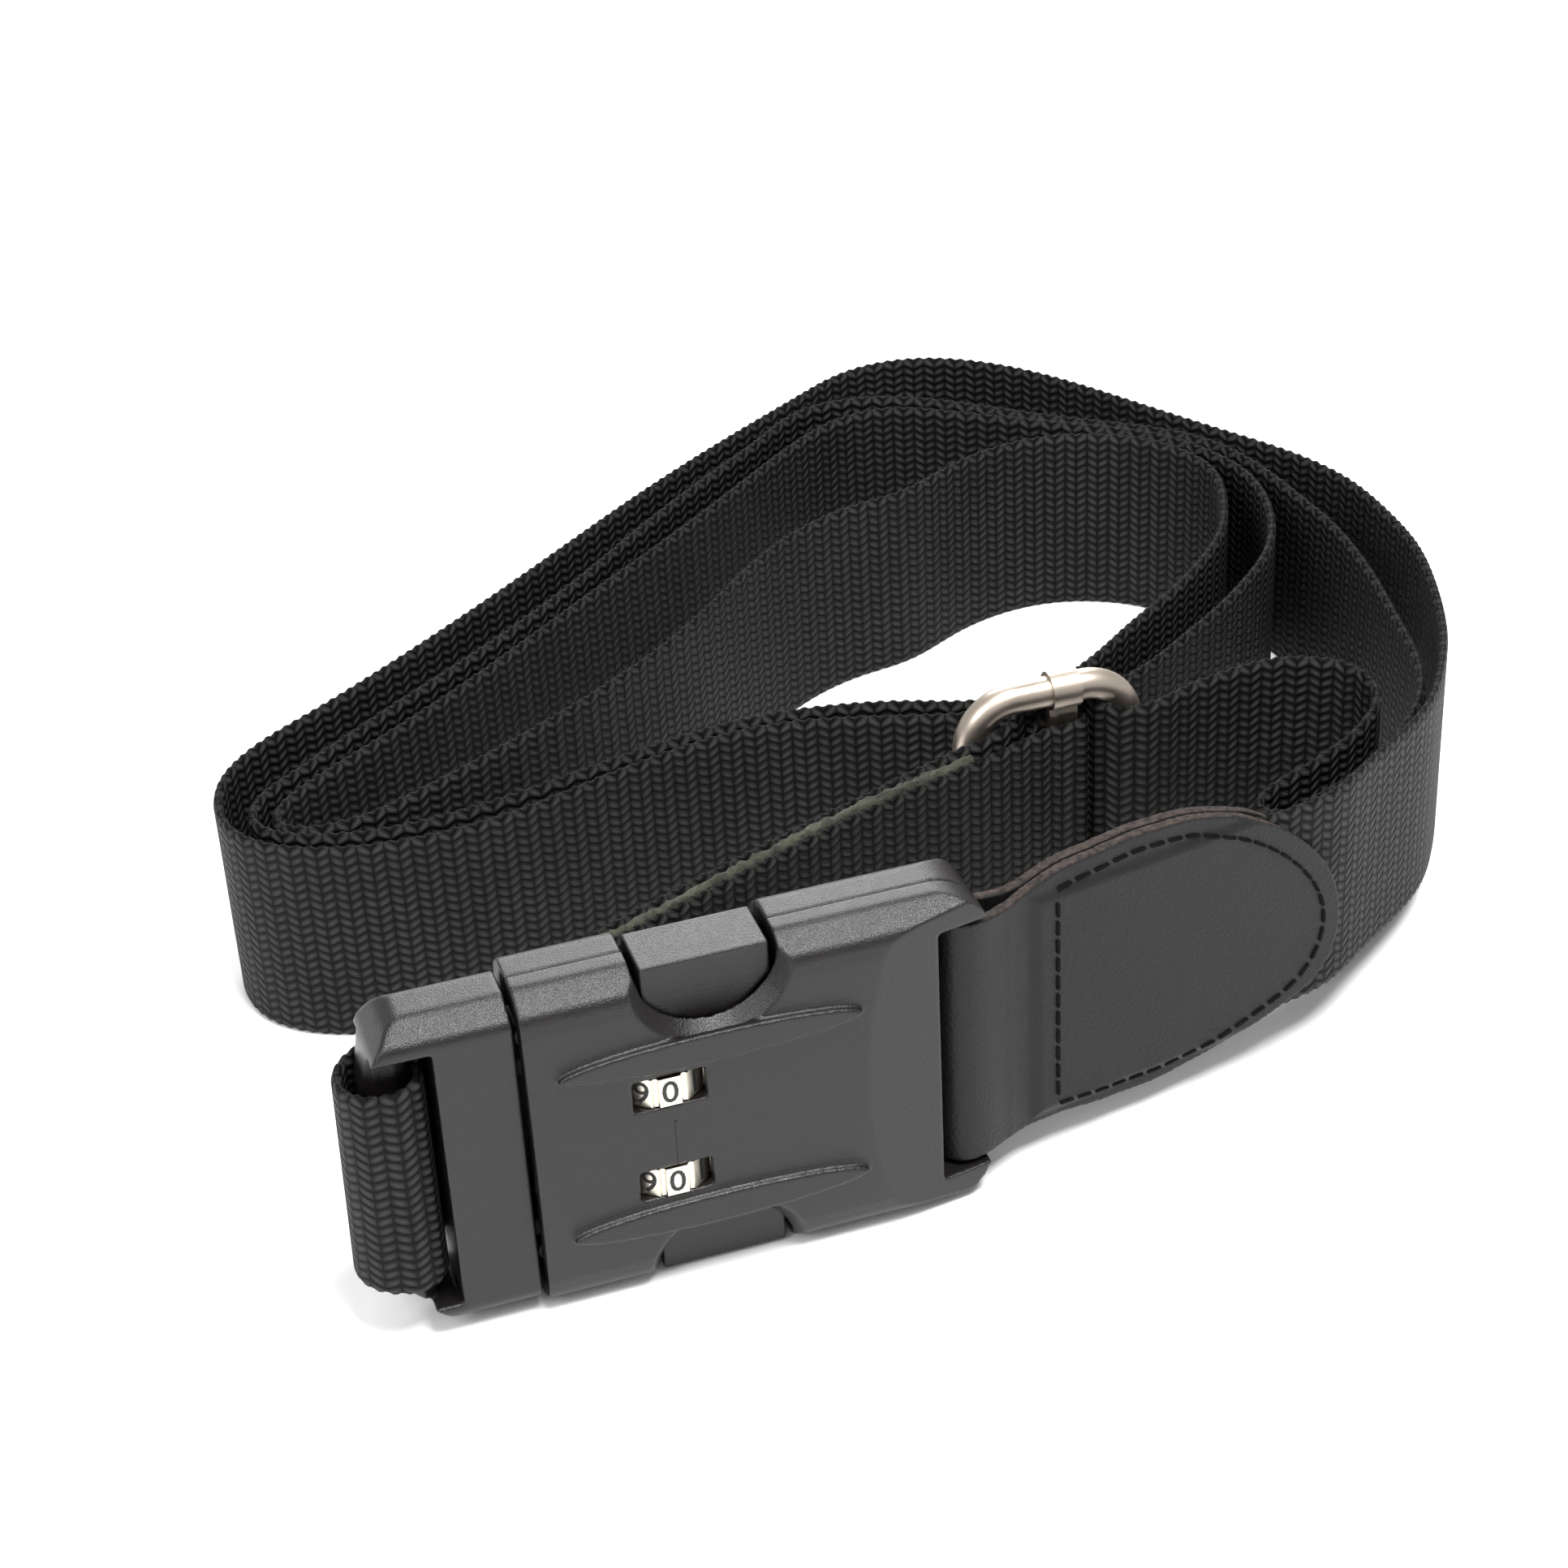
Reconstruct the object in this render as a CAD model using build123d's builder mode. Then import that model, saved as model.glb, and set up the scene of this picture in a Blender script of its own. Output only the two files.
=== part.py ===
from build123d import *
import math
import os

os.makedirs("parts", exist_ok=True)

# Luggage strap with a combination-lock side-release buckle. All sizes are in millimetres.
# Plan coordinates are measured from the buckle's plug line: x runs along the buckle towards the
# leather patch, y runs away from the buckle's face, and z is the height over the table. CENTRE
# moves them so that the origin is under the middle of the whole coiled strap.
CENTRE = (84.7, 108.7)

# driving dimensions: webbing
WEB_WIDTH = 38.0
WEB_THICK = 1.5
COIL_BASE = 0.0
RISING_BASE = 4.0
RUN_BASE = 8.6
LAYER_BASE = 6.8
LEATHER_WEB_BASE = 9.5
SPAN_GAP = 0.3
LINING_THICK = 0.8

# driving dimensions: buckle
BUCKLE_WIDTH = 57.0
BUCKLE_THICK = 16.5
MID_Z = BUCKLE_WIDTH / 2
FEMALE_START = 0.5
FEMALE_END = 73.2
SPLIT_Y = 8.2
SLOT_EDGE = 64.0
CAVITY_FRONT = 2.8
CAVITY_BACK = 13.9
CAVITY_SIDE = 4.7
CAVITY_END = 46.0
CORNER_RADIUS = 9.0
SCOOP_RADIUS = 10.9
SCOOP_X = 28.8
SCOOP_DEPTH = 10.6
BEVEL_WIDTH = 4.0
BEVEL_HEIGHT = 5.0
END_BAR = (69.3, 8.0)
END_BAR_RADIUS = 2.5
SCREW_POINTS = ((56, MID_Z - 15), (56, MID_Z + 15))

MALE_START = -22.5
MALE_END = -0.3
MALE_FRONT = 1.0
MALE_BACK = 13.8
SLOT_LEFT = -15.2
SLOT_RIGHT = -12.2
SLOT_LENGTH = 46.0
ARM_ROOT = (2.0, 8.0)
ARM_ROOT_RADIUS = 1.8
ARM_LEVEL = 48.5
ARM_THICK = 3.0
ARM_DEPTH = 6.5
BUTTON_START = 19.0
BUTTON_END = 38.6
BUTTON_DEPTH = 9.8
BUTTON_LOW = 47.6
BUTTON_TOP = 56.4

# driving dimensions: lock
DIAL_X = 21.3
DIAL_Y = 6.2
DIAL_RADIUS = 7.2
DIAL_HEIGHT = 5.0
DIAL_SPACING = 16.6
DIGITS = 10
DIAL_LEVELS = (MID_Z - DIAL_SPACING / 2, MID_Z + DIAL_SPACING / 2)
WINDOW_WIDTH = 11.2
WINDOW_HEIGHT = 5.4
SPINDLE_RADIUS = 1.2
SPINDLE_LENGTH = 29.0
SLEEVE_RADIUS = 3.0
CAM_RADIUS = 5.2
CAM_THICK = 1.6
RUNNING_GAP = 0.05

# driving dimensions: slider and leather
RING_LEFT = 89.0
RING_RIGHT = 122.4
RING_Y = 62.0
RING_WIRE = 2.6
RING_BASE = 0.7
RING_HEIGHT = 52.0
RING_CORNER = 8.0
SLEEVE_WALL = 0.7
BAR_X = 108.3
BAR_WIDTH = 5.0
BAR_THICK = 1.5
LEATHER_THICK = 1.8
LEATHER_ANGLE = 11.0
LEATHER_TIP = 70.0
LEATHER_SPREAD = 1.75
STITCH_LENGTH = 2.6
STITCH_PITCH = 3.3
STITCH_THICK = 0.55


def at(x, y, z=0.0):
    """A point given from the plug line, in the part's own frame."""
    return (x - CENTRE[0], y - CENTRE[1], z)


def floor_plane(z=0.0):
    """Sketch x and y are the plan coordinates, and the normal points up."""
    return Plane(at(0, 0, z))


def side_plane(y=0.0):
    """Sketch x is along the buckle, sketch y is up, and the normal points to the front."""
    return Plane(at(0, y), x_dir=(1, 0, 0), z_dir=(0, -1, 0))


def cross_plane(x):
    """Sketch x is the depth y, sketch y is up, and the normal points along +X."""
    return Plane(at(x, 0), x_dir=(0, 1, 0), z_dir=(1, 0, 0))


def leather_plane(offset=0.0):
    """Sketch x runs from the end bar to the leather's tip, sketch y is the height over mid_z."""
    turn = math.radians(LEATHER_ANGLE)
    normal = Vector(math.sin(turn), -math.cos(turn), 0)
    origin = Vector(*at(END_BAR[0], END_BAR[1], MID_Z)) + normal * offset
    return Plane(origin, x_dir=(math.cos(turn), math.sin(turn), 0), z_dir=normal)


def finish(part, label):
    part.label = label
    export_step(part, f"parts/{label}.step")


def web_spans(points, spans, base, thick=WEB_THICK, height=WEB_WIDTH):
    """Add one smooth run of upright webbing to the open part, cut into short separate spans."""
    line = Spline(*[Vector(x, y) for x, y in points], mode=Mode.PRIVATE)
    gap = SPAN_GAP / line.length
    for index in range(spans):
        start = index / spans + (gap if index else 0)
        with BuildSketch(floor_plane(base)) as span:
            with BuildLine():
                add(line.trim(start, (index + 1) / spans))
            trace(line_width=thick)
        extrude(span.sketch, amount=height)


# ---- webbing: one long piece, wound on edge into a loose coil -------------------------------
leather_run = [(83, 10.66), (100, 13.97), (118, 17.47), (138, 21.36)]
lifted_run = [(138.4, 21.5), (147.4, 28.2), (159, 37.5), (168, 46), (172.6, 52)]
outer_back = [
    (173, 52.6), (179, 62), (185.5, 74), (191.5, 89), (195.7, 104), (197, 119), (196, 133),
    (191, 147), (183, 161), (172, 180), (161, 198), (149, 211), (137, 217), (124, 216.4),
    (112, 210), (92, 197), (68, 180), (40, 158), (12, 137), (-8, 123.5),
]
outer_front = [
    (-8.3, 123.3), (-19, 116), (-25.5, 108), (-27.6, 98), (-26, 91), (-21.5, 85.3), (-13, 80.6),
    (-3, 78.3), (8, 78), (20, 79.8), (34, 84), (48, 87.6), (62, 89.3), (75, 87.3), (86, 83.6),
    (97, 80), (110, 77.6), (121, 78.4), (130, 81.4), (142.6, 89.3), (153, 96.7), (162, 104.3),
    (170, 112.7), (176, 123), (179.4, 134), (179.9, 144),
]
centre_back = [
    (179.8, 144.4), (177, 154), (171.5, 163.2), (164, 170.2), (154, 177.6), (145, 184.3),
    (135, 191.7), (126, 196.6), (117, 196.6), (103, 189), (80, 170), (48, 145), (15, 119.6),
    (-3, 107.6), (-12, 101.6), (-17.5, 96.6), (-19, 93), (-17.4, 89.4), (-12.6, 87.6),
]
inner_loop = [
    (-11.7, 87.4), (-6.5, 87.8), (4, 91.6), (20, 99.6), (35, 108), (63, 128), (95, 155.5),
    (106, 159.4), (116, 161.4), (128, 167.4), (140, 171.6), (152, 171.6), (160.5, 168.4),
    (167, 163.7), (172.2, 156.6), (174.6, 147), (171.5, 134.5), (165.5, 123), (158, 114.5),
    (147, 105), (136, 97),
]
inner_front = [
    (135.7, 96.8), (124, 88), (112, 82.7), (100.5, 83), (91, 86.8), (77, 91), (62, 92.5),
    (48, 90.9), (34, 88), (18, 84.4), (4, 82.6), (-5, 82.9), (-13, 84.9), (-19.5, 88.4),
    (-22.7, 94), (-21, 99.6),
]
middle_back = [
    (-20.8, 99.9), (-15, 105), (0, 116), (27, 135), (46, 150), (67, 169), (85, 184), (98, 194.4),
    (109, 202.6), (120, 204), (131, 200), (143, 190.7), (154, 181), (166, 171.6), (175, 163.4),
    (180.6, 154.4), (183.4, 144), (184.9, 130), (185.6, 117), (184.6, 104), (182.4, 91),
]
tail_out = [
    (182.3, 90.6), (180, 80), (177.5, 69), (174, 60), (169.5, 53.2), (164, 47.6), (157, 42),
    (148, 36.4), (139, 32.4),
]
tail_return = [
    (138.6, 32.2), (133, 31), (131, 33.4), (133.4, 36.4), (140, 38.8), (149, 41.8), (156.4, 46),
    (160.8, 51.6), (159.6, 58.4), (152.6, 62.6), (144, 63.2), (136.4, 61.8),
]
slider_pass = [
    (136, 61.7), (131, 60.4), (126, 58.5), (121, 57.3), (117.2, 58.2), (115, 60.6),
    (113.5, 63.6), (110.5, 65.6), (106, 65.4), (101.2, 62.9), (96, 59.4), (91.6, 57.9), (87.4, 56.9),
]
rear_layer = [(87, 56.8), (80, 54.8), (68, 51), (50, 43.8), (30, 35.3), (10, 26.5), (-10.2, 18.2)]
bar_loop = [
    (-10.7, 18), (-16.5, 15.9), (-22, 13.7), (-25.4, 9), (-24.6, 4), (-20.5, 1.2), (-16.3, 1.6),
    (-13.9, 4.8), (-13.7, 9), (-13.6, 12.4), (-12.8, 14.9), (-10.7, 16.1),
]
front_layer = [
    (-10.2, 16.3), (10, 24), (30, 32.2), (50, 40.6), (68, 47.8), (80, 51.6), (88, 54),
]
sewn_fold = [
    (88.5, 54.2), (93, 55.7), (98, 57.5), (103.3, 59.3), (107.5, 60.3), (110.5, 60.3), (112.3, 62),
    (110.5, 63.75), (107.2, 63.85), (104.7, 63.2), (102.6, 61.9),
]
lining = [(15, 27.4), (30, 33.75), (50, 42.2), (68, 49.4), (80, 53.2), (84, 54.35)]

with BuildPart() as webbing_leather_end:
    web_spans(leather_run, 2, LEATHER_WEB_BASE)
finish(webbing_leather_end.part, "webbing_leather_end")

with BuildPart() as webbing_outer_back:
    web_spans(lifted_run, 3, LEATHER_WEB_BASE - 1)
    web_spans(outer_back, 14, COIL_BASE)
finish(webbing_outer_back.part, "webbing_outer_back")

with BuildPart() as webbing_outer_front:
    web_spans(outer_front, 16, COIL_BASE)
finish(webbing_outer_front.part, "webbing_outer_front")

with BuildPart() as webbing_centre_back:
    web_spans(centre_back, 14, COIL_BASE)
finish(webbing_centre_back.part, "webbing_centre_back")

with BuildPart() as webbing_inner_loop:
    web_spans(inner_loop, 13, COIL_BASE)
finish(webbing_inner_loop.part, "webbing_inner_loop")

with BuildPart() as webbing_inner_front:
    web_spans(inner_front, 10, COIL_BASE)
finish(webbing_inner_front.part, "webbing_inner_front")

with BuildPart() as webbing_middle_back:
    web_spans(middle_back, 12, COIL_BASE)
finish(webbing_middle_back.part, "webbing_middle_back")

with BuildPart() as webbing_tail_turn:
    web_spans(tail_out, 5, COIL_BASE)
    web_spans(tail_return, 9, RISING_BASE)
finish(webbing_tail_turn.part, "webbing_tail_turn")

with BuildPart() as webbing_slider_pass:
    web_spans(slider_pass, 8, RUN_BASE)
finish(webbing_slider_pass.part, "webbing_slider_pass")

with BuildPart() as webbing_rear_layer:
    web_spans(rear_layer, 3, LAYER_BASE)
finish(webbing_rear_layer.part, "webbing_rear_layer")

with BuildPart() as webbing_bar_loop:
    web_spans(bar_loop, 8, RUN_BASE)
finish(webbing_bar_loop.part, "webbing_bar_loop")

with BuildPart() as webbing_front_layer:
    web_spans(front_layer, 3, LAYER_BASE)
finish(webbing_front_layer.part, "webbing_front_layer")

with BuildPart() as webbing_sewn_fold:
    web_spans(sewn_fold, 6, LAYER_BASE)
finish(webbing_sewn_fold.part, "webbing_sewn_fold")

with BuildPart() as lining_strip:
    web_spans(lining, 3, LAYER_BASE + 1, thick=LINING_THICK, height=WEB_WIDTH - 2)
finish(lining_strip.part, "lining_strip")


# ---- female half of the buckle ---------------------------------------------------------------
def female_body():
    """The closed outer form with its cavity, side scoops and strap slot, before it is split."""
    with BuildSketch(cross_plane(FEMALE_START)) as section:
        with BuildLine():
            front = ThreePointArc((0, 6), (-0.6, MID_Z), (0, BUCKLE_WIDTH - 6))
            Polyline(
                front @ 1, (0.5, BUCKLE_WIDTH - 2.8), (5, BUCKLE_WIDTH), (13.4, BUCKLE_WIDTH),
                (16, BUCKLE_WIDTH - 2.2), (BUCKLE_THICK, BUCKLE_WIDTH - 6), (BUCKLE_THICK, 6),
                (16, 2.2), (13.4, 0), (5, 0), (0.5, 2.8), front @ 0,
            )
        make_face()
        fillet(vertices().filter_by_position(Axis.X, 0.3, 16.3), radius=3)
    extrude(section.sketch, amount=FEMALE_END - FEMALE_START)
    with BuildSketch(side_plane(-5)) as outline:
        length = FEMALE_END - FEMALE_START + CORNER_RADIUS
        with Locations((FEMALE_END - length / 2, MID_Z)):
            RectangleRounded(length, BUCKLE_WIDTH, CORNER_RADIUS)
    extrude(outline.sketch, amount=-30, mode=Mode.INTERSECT)
    with BuildSketch(floor_plane()) as slope:
        with BuildLine():
            Polyline((51, -5), (51, -0.7), (75, 3.8), (75, -5), close=True)
        make_face()
    extrude(slope.sketch, amount=BUCKLE_WIDTH, mode=Mode.SUBTRACT)
    with BuildSketch(side_plane(CAVITY_FRONT)) as cavity:
        with Locations((CAVITY_END / 2, MID_Z)):
            Rectangle(CAVITY_END, BUCKLE_WIDTH - 2 * CAVITY_SIDE)
        with Locations((CAVITY_END + 3, MID_Z)):
            Rectangle(12, 14)
        with Locations(((BUTTON_START + BUTTON_END) / 2 + 0.3, MID_Z)):
            Rectangle(BUTTON_END - BUTTON_START + 1.4, BUCKLE_WIDTH + 2)
    extrude(cavity.sketch, amount=CAVITY_FRONT - CAVITY_BACK, mode=Mode.SUBTRACT)
    with BuildSketch(side_plane(-5)) as scoops:
        for edge in (-1, 1):
            level = MID_Z + edge * (MID_Z - SCOOP_DEPTH + SCOOP_RADIUS)
            with Locations((SCOOP_X, level)):
                Circle(SCOOP_RADIUS)
    extrude(scoops.sketch, amount=-30, mode=Mode.SUBTRACT)
    for edge in (-1, 1):
        level = MID_Z + edge * (MID_Z - SCOOP_DEPTH + SCOOP_RADIUS)
        with Locations(Location(at(SCOOP_X, CAVITY_FRONT - BEVEL_HEIGHT / 2, level), (90, 0, 0))):
            Cone(SCOOP_RADIUS, SCOOP_RADIUS + BEVEL_WIDTH, BEVEL_HEIGHT, mode=Mode.SUBTRACT)
    with BuildSketch(side_plane(-5)) as strap_slot:
        with Locations(((SLOT_EDGE + FEMALE_END) / 2 + 2, MID_Z)):
            Rectangle(FEMALE_END - SLOT_EDGE + 4, SLOT_LENGTH)
    extrude(strap_slot.sketch, amount=-30, mode=Mode.SUBTRACT)


with BuildPart() as female_front_shell:
    female_body()
    with BuildSketch(side_plane(-5)):
        with Locations(*[(DIAL_X, level) for level in DIAL_LEVELS]):
            Rectangle(WINDOW_WIDTH, WINDOW_HEIGHT)
    extrude(amount=-5 - CAVITY_FRONT, mode=Mode.SUBTRACT)
    with BuildSketch(side_plane(CAVITY_FRONT)):
        with Locations(*[(DIAL_X, MID_Z + side * (SPINDLE_LENGTH / 2 - 1)) for side in (-1, 1)]):
            Rectangle(6, 2)
    extrude(amount=CAVITY_FRONT - SPLIT_Y)
    with BuildSketch(side_plane(-0.2)):
        for side in (-1, 1):
            with Locations((28, MID_Z + side * 14.8)):
                Ellipse(23, 2.6)
    extrude(amount=1.3)
    split(bisect_by=side_plane(SPLIT_Y), keep=Keep.TOP)
    for level, radius, height in (
        (DIAL_LEVELS[0], DIAL_RADIUS + 0.4, WINDOW_HEIGHT), (MID_Z, CAM_RADIUS + 0.3, 11),
        (DIAL_LEVELS[1], DIAL_RADIUS + 0.4, WINDOW_HEIGHT),
    ):
        with BuildSketch(floor_plane(level - height / 2)):
            with Locations((DIAL_X, DIAL_Y)):
                Circle(radius)
        extrude(amount=height, mode=Mode.SUBTRACT)
    with BuildSketch(floor_plane(MID_Z - SPINDLE_LENGTH / 2)):
        with Locations((DIAL_X, DIAL_Y)):
            Circle(SPINDLE_RADIUS)
    extrude(amount=SPINDLE_LENGTH, mode=Mode.SUBTRACT)
    with BuildSketch(side_plane(SPLIT_Y)):
        with Locations(*SCREW_POINTS):
            Circle(1.0)
    extrude(amount=5.0, mode=Mode.SUBTRACT)
finish(female_front_shell.part, "female_front_shell")

with BuildPart() as female_back_shell:
    female_body()
    split(bisect_by=side_plane(SPLIT_Y), keep=Keep.BOTTOM)
    with BuildSketch(side_plane(SPLIT_Y)):
        with Locations(*SCREW_POINTS):
            Circle(1.3)
    extrude(amount=-(BUCKLE_THICK - SPLIT_Y), mode=Mode.SUBTRACT)
    with BuildSketch(side_plane(BUCKLE_THICK)):
        with Locations(*SCREW_POINTS):
            Circle(2.3)
    extrude(amount=2.0, mode=Mode.SUBTRACT)
    with BuildSketch(floor_plane(MID_Z - SLOT_LENGTH / 2)):
        with Locations(END_BAR):
            Circle(END_BAR_RADIUS)
    extrude(amount=SLOT_LENGTH)
finish(female_back_shell.part, "female_back_shell")

with BuildPart() as shell_screws:
    with BuildSketch(side_plane(BUCKLE_THICK - 0.4)):
        with Locations(*SCREW_POINTS):
            Circle(2.2)
            RegularPolygon(0.9, 6, mode=Mode.SUBTRACT)
    extrude(amount=1.6)
    with BuildSketch(side_plane(BUCKLE_THICK - 1.4)):
        with Locations(*SCREW_POINTS):
            Circle(1.0)
    extrude(amount=BUCKLE_THICK - 1.4 - 3.6)
finish(shell_screws.part, "shell_screws")

# ---- male half of the buckle -----------------------------------------------------------------
with BuildPart() as male_frame:
    with BuildSketch(cross_plane(MALE_START)):
        with BuildLine():
            Polyline(
                (MALE_FRONT, 3.4), (5.4, 0.6), (11.6, 0.6), (MALE_BACK, 3), (MALE_BACK, 54),
                (11.6, 56.4), (5.4, 56.4), (MALE_FRONT, 53.6), close=True,
            )
        make_face()
        fillet(vertices(), radius=2.5)
    extrude(amount=MALE_END - MALE_START)
    with BuildSketch(side_plane(-5)):
        with BuildLine():
            Polyline(
                (MALE_START, 16), (MALE_START + 3, 8), (MALE_START + 9, 2.4), (MALE_END - 6, 0.4),
                (MALE_END, 0),
                (MALE_END, BUCKLE_WIDTH), (MALE_START + 5.5, BUCKLE_WIDTH - 0.6),
                (MALE_START + 1.6, BUCKLE_WIDTH - 5), (MALE_START, BUCKLE_WIDTH - 13), close=True,
            )
        make_face()
        fillet(vertices().filter_by_position(Axis.X, MALE_START, MALE_START + 6), radius=5)
    extrude(amount=-30, mode=Mode.INTERSECT)
    with BuildSketch(side_plane(-5)):
        with Locations(((SLOT_LEFT + SLOT_RIGHT) / 2, MID_Z)):
            Rectangle(SLOT_RIGHT - SLOT_LEFT, SLOT_LENGTH)
    extrude(amount=-30, mode=Mode.SUBTRACT)
    for recess in (
        [(MALE_START - 1, 0), (SLOT_LEFT, 0), (SLOT_LEFT, 5.2), (-17.5, 3.4), (-20.5, 3.4),
         (MALE_START - 1, 6.5)],
        [(MALE_START - 1, 15), (SLOT_LEFT, 15), (SLOT_LEFT, 11.8), (-20, 11.8),
         (MALE_START - 1, 10)],
    ):
        with BuildSketch(floor_plane(MID_Z - SLOT_LENGTH / 2)):
            with BuildLine():
                Polyline(*recess, close=True)
            make_face()
        extrude(amount=SLOT_LENGTH, mode=Mode.SUBTRACT)
    with BuildSketch(cross_plane(MALE_END - 0.5)):
        for side in (-1, 1):
            with Locations((ARM_ROOT[1], MID_Z + side * 15)):
                Rectangle(7, 3)
    extrude(amount=13)
finish(male_frame.part, "male_frame")

for arm_name, side in (("release_arm_lower", -1), ("release_arm_upper", 1)):
    with BuildPart() as release_arm:
        with BuildSketch(side_plane(ARM_ROOT[1] - ARM_DEPTH / 2)):
            with Locations((ARM_ROOT[0], MID_Z + side * (ARM_LEVEL - MID_Z))):
                Circle(ARM_ROOT_RADIUS)
            with Locations(((ARM_ROOT[0] + BUTTON_START) / 2 + 1, MID_Z + side * (ARM_LEVEL - MID_Z))):
                Rectangle(BUTTON_START - ARM_ROOT[0] + 2, ARM_THICK)
        extrude(amount=-ARM_DEPTH)
        with BuildSketch(side_plane(ARM_ROOT[1] - 4.7)):
            with BuildLine():
                Polyline(*[
                    (x, MID_Z + side * (z - MID_Z)) for x, z in (
                        (BUTTON_START, BUTTON_LOW - 0.6), (BUTTON_START, BUTTON_TOP),
                        (BUTTON_END, BUTTON_TOP), (BUTTON_END, 51), (BUTTON_END - 4.4, 46.6),
                        (BUTTON_END - 6, BUTTON_LOW - 2), (BUTTON_START + 7, BUTTON_LOW - 2),
                        (BUTTON_START + 5.8, BUTTON_LOW - 1),
                    )
                ], close=True)
            make_face()
        extrude(amount=-BUTTON_DEPTH)
    finish(release_arm.part, arm_name)

# ---- combination lock --------------------------------------------------------------------------
with BuildPart() as dial_spindle:
    with BuildSketch(floor_plane(MID_Z - SPINDLE_LENGTH / 2 + RUNNING_GAP)):
        with Locations((DIAL_X, DIAL_Y)):
            Circle(SPINDLE_RADIUS)
    extrude(amount=SPINDLE_LENGTH - 2 * RUNNING_GAP)
finish(dial_spindle.part, "dial_spindle")

for level_name, side in (("lower", -1), ("upper", 1)):
    low = MID_Z + side * DIAL_SPACING / 2 - DIAL_HEIGHT / 2
    with BuildPart() as dial:
        with BuildSketch(floor_plane(low)):
            with Locations((DIAL_X, DIAL_Y)):
                RegularPolygon(DIAL_RADIUS, DIGITS, rotation=-90 + 180 / DIGITS)
                with PolarLocations(DIAL_RADIUS, DIGITS, start_angle=-90 + 180 / DIGITS):
                    Circle(0.55, mode=Mode.SUBTRACT)
                Circle(SLEEVE_RADIUS, mode=Mode.SUBTRACT)
        extrude(amount=DIAL_HEIGHT)
    finish(dial.part, f"dial_{level_name}")
    inner = MID_Z + side * 3.6
    outer = MID_Z + side * (DIAL_SPACING / 2 + DIAL_HEIGHT / 2 + 1)
    with BuildPart() as sleeve:
        with BuildSketch(floor_plane(min(inner, outer))):
            with Locations((DIAL_X, DIAL_Y)):
                Circle(SLEEVE_RADIUS)
                Circle(SPINDLE_RADIUS + RUNNING_GAP, mode=Mode.SUBTRACT)
        extrude(amount=abs(outer - inner))
        with BuildSketch(floor_plane(inner if side > 0 else inner - CAM_THICK)):
            with Locations((DIAL_X, DIAL_Y)):
                Circle(CAM_RADIUS)
                Circle(SLEEVE_RADIUS - 0.5, mode=Mode.SUBTRACT)
            with Locations((DIAL_X, DIAL_Y + CAM_RADIUS)):
                Rectangle(3, 2.4, mode=Mode.SUBTRACT)
        extrude(amount=CAM_THICK)
    finish(sleeve.part, f"sleeve_{level_name}")

with BuildPart() as detent_spring:
    with BuildSketch(floor_plane(MID_Z - 13)):
        with Locations((DIAL_X, 13.72)):
            Rectangle(5, 0.3)
    extrude(amount=26)
finish(detent_spring.part, "detent_spring")

with BuildPart() as lock_plate:
    with BuildSketch(side_plane(11.9)):
        with Locations((29, MID_Z)):
            Rectangle(26, 9)
        with Locations((20, MID_Z)):
            SlotCenterToCenter(5, 2.4, mode=Mode.SUBTRACT)
    extrude(amount=-1.3)
    with BuildSketch(side_plane(6)):
        with Locations((41, MID_Z)):
            Rectangle(2, 9)
    extrude(amount=-5.9)
finish(lock_plate.part, "lock_plate")

with BuildPart() as lock_spring:
    with BuildLine():
        coil = Helix(pitch=1.7, height=9.0, radius=1.7, center=at(42.3, 9, MID_Z), direction=(1, 0, 0))
    with BuildSketch(Plane(origin=coil @ 0, z_dir=coil % 0)):
        Circle(0.3)
    sweep()
finish(lock_spring.part, "lock_spring")

# ---- slider on the strap -----------------------------------------------------------------------
RING_MID = ((RING_LEFT + RING_RIGHT) / 2, RING_BASE + RING_HEIGHT / 2)
RAIL_LEVELS = (RING_BASE + RING_WIRE, RING_BASE + RING_HEIGHT - RING_WIRE)

with BuildPart() as slider_ring:
    with BuildSketch(side_plane(RING_Y), mode=Mode.PRIVATE) as ring_outline:
        with Locations(RING_MID):
            RectangleRounded(
                RING_RIGHT - RING_LEFT - 2 * RING_WIRE, RING_HEIGHT - 2 * RING_WIRE, RING_CORNER
            )
    ring_path = ring_outline.sketch.face().outer_wire()
    with BuildSketch(cross_plane(RING_MID[0])):
        with Locations((RING_Y, RAIL_LEVELS[0])):
            Circle(RING_WIRE)
    sweep(path=ring_path)
finish(slider_ring.part, "slider_ring")

with BuildPart() as slider_bar:
    with BuildSketch(cross_plane(BAR_X - BAR_WIDTH / 2)):
        with Locations((RING_Y, RAIL_LEVELS[0]), (RING_Y, RAIL_LEVELS[1])):
            Circle(RING_WIRE + SLEEVE_WALL)
        with Locations((RING_Y, RING_MID[1])):
            Rectangle(BAR_THICK, RING_HEIGHT - 4 * RING_WIRE)
        with Locations((RING_Y, RAIL_LEVELS[0]), (RING_Y, RAIL_LEVELS[1])):
            Circle(RING_WIRE, mode=Mode.SUBTRACT)
    extrude(amount=BAR_WIDTH)
finish(slider_bar.part, "slider_bar")

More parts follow.
